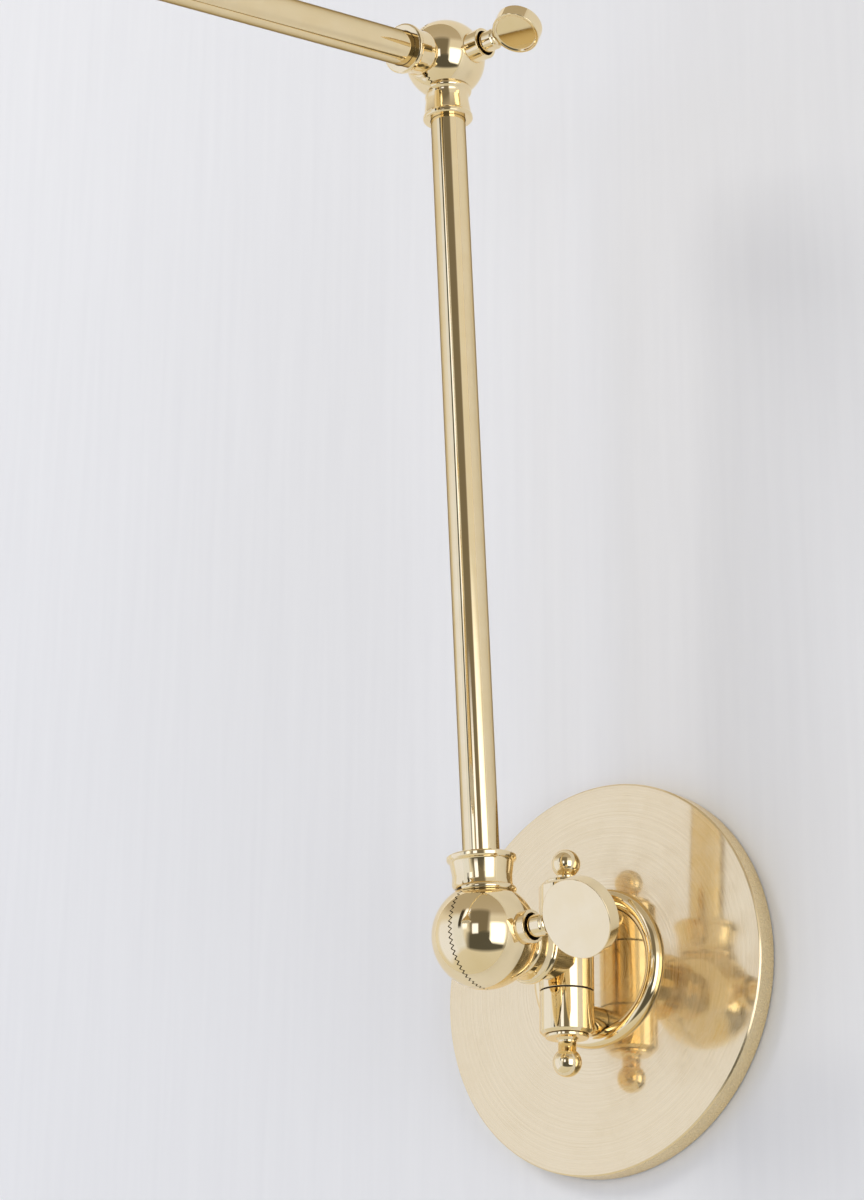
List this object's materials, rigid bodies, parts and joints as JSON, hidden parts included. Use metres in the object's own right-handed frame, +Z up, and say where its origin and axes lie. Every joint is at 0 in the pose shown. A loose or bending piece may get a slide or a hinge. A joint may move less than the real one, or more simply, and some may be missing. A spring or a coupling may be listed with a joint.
{
  "type": "swing arm wall sconce",
  "caption": "Articulated wall sconce: round wall plate, swivel barrel, two tube arms on split serrated ball knuckles locked by thumb keys, and a conical metal shade.",
  "frame": {"origin": "on the wall, at the centre of the plate's back and of the bracket's screw slots", "axes": "+Z up, +Y into the wall, so the lamp reaches out along -Y; +X to the right for someone facing the wall"},
  "size_m": [0.1418, 0.4862, 0.4142],
  "materials": {
    "polished_brass": "polished and lacquered, pale gold",
    "satin_brass": "satin, half mirror",
    "dark_washer": "dark fibre washers",
    "zinc_steel": "zinc plated",
    "green_screw": "green passivated",
    "lead_sheath": "satin sheath",
    "porcelain": "glazed white",
    "nickel": "bright nickel",
    "bulb_glass": "frosted inside",
    "white_enamel": "satin white, inside the shade"
  },
  "bodies": {
    "root": {"backplate": "satin_brass", "ring_bead": "polished_brass", "centre_disc": "polished_brass", "wall_bracket": "zinc_steel", "grub_screws": "zinc_steel", "earth_screw": "green_screw", "stud_top": "polished_brass", "stud_bottom": "polished_brass", "stud_nuts": "zinc_steel", "sleeve_top": "polished_brass", "sleeve_bottom": "polished_brass", "swivel_washers": "dark_washer", "pivot_tube": "polished_brass", "cap_washers": "polished_brass", "finial_top": "polished_brass", "finial_bottom": "polished_brass", "supply_lead": "lead_sheath"},
    "swivel": {"swivel_sleeve": "polished_brass", "stub_neck": "polished_brass", "stub_collar": "polished_brass", "stub_lead": "lead_sheath", "lower_ball_left": "polished_brass"},
    "lower_key": {"lower_key_screw": "polished_brass", "lower_key_paddle": "polished_brass"},
    "lower_arm": {"lower_ball_right": "polished_brass", "lower_ferrule": "polished_brass", "lower_arm_foot": "polished_brass", "lower_tube": "polished_brass", "lower_arm_top": "polished_brass", "lower_lead": "lead_sheath", "upper_ball_right": "polished_brass", "upper_ferrule": "polished_brass"},
    "upper_key": {"upper_key_screw": "polished_brass", "upper_key_paddle": "polished_brass"},
    "upper_arm": {"upper_ball_left": "polished_brass", "upper_arm_foot": "polished_brass", "upper_tube": "polished_brass", "upper_arm_end": "polished_brass", "upper_lead": "lead_sheath", "head_ball_left": "polished_brass"},
    "head_key": {"head_key_screw": "polished_brass", "head_key_paddle": "polished_brass"},
    "head": {"head_ball_right": "polished_brass", "head_ferrule": "polished_brass", "head_collar": "polished_brass", "socket_cup": "polished_brass", "head_lead": "lead_sheath", "lampholder": "porcelain", "screw_shell": "nickel", "centre_contact": "nickel", "shade_ring": "polished_brass", "shade": "polished_brass", "bulb_cap": "nickel", "bulb_glass": "bulb_glass"}
  },
  "joints": [
    {"name": "wall_swivel", "type": "hinge", "parent": "root", "child": "swivel", "pos_m": [0, -0.0259, 0.003], "axis": [0, 0, 1], "range_deg": [-66, 45]},
    {"name": "lower_tilt", "type": "hinge", "parent": "swivel", "child": "lower_arm", "pos_m": [0, -0.0699, 0.003], "axis": [1, 0, 0], "range_deg": [-6, 96]},
    {"name": "lower_key_turn", "type": "hinge", "parent": "swivel", "child": "lower_key", "pos_m": [0, -0.0699, 0.003], "axis": [1, 0, 0], "range_deg": [0, 270]},
    {"name": "upper_tilt", "type": "hinge", "parent": "lower_arm", "child": "upper_arm", "pos_m": [0, -0.09331, 0.32966], "axis": [1, 0, 0], "range_deg": [-78, 6]},
    {"name": "upper_key_turn", "type": "hinge", "parent": "upper_arm", "child": "upper_key", "pos_m": [0, -0.09331, 0.32966], "axis": [1, 0, 0], "range_deg": [0, 270]},
    {"name": "head_tilt", "type": "hinge", "parent": "upper_arm", "child": "head", "pos_m": [0, -0.41524, 0.25711], "axis": [1, 0, 0], "range_deg": [-96, 24]},
    {"name": "head_key_turn", "type": "hinge", "parent": "upper_arm", "child": "head_key", "pos_m": [0, -0.41524, 0.25711], "axis": [1, 0, 0], "range_deg": [0, 270]}
  ]
}
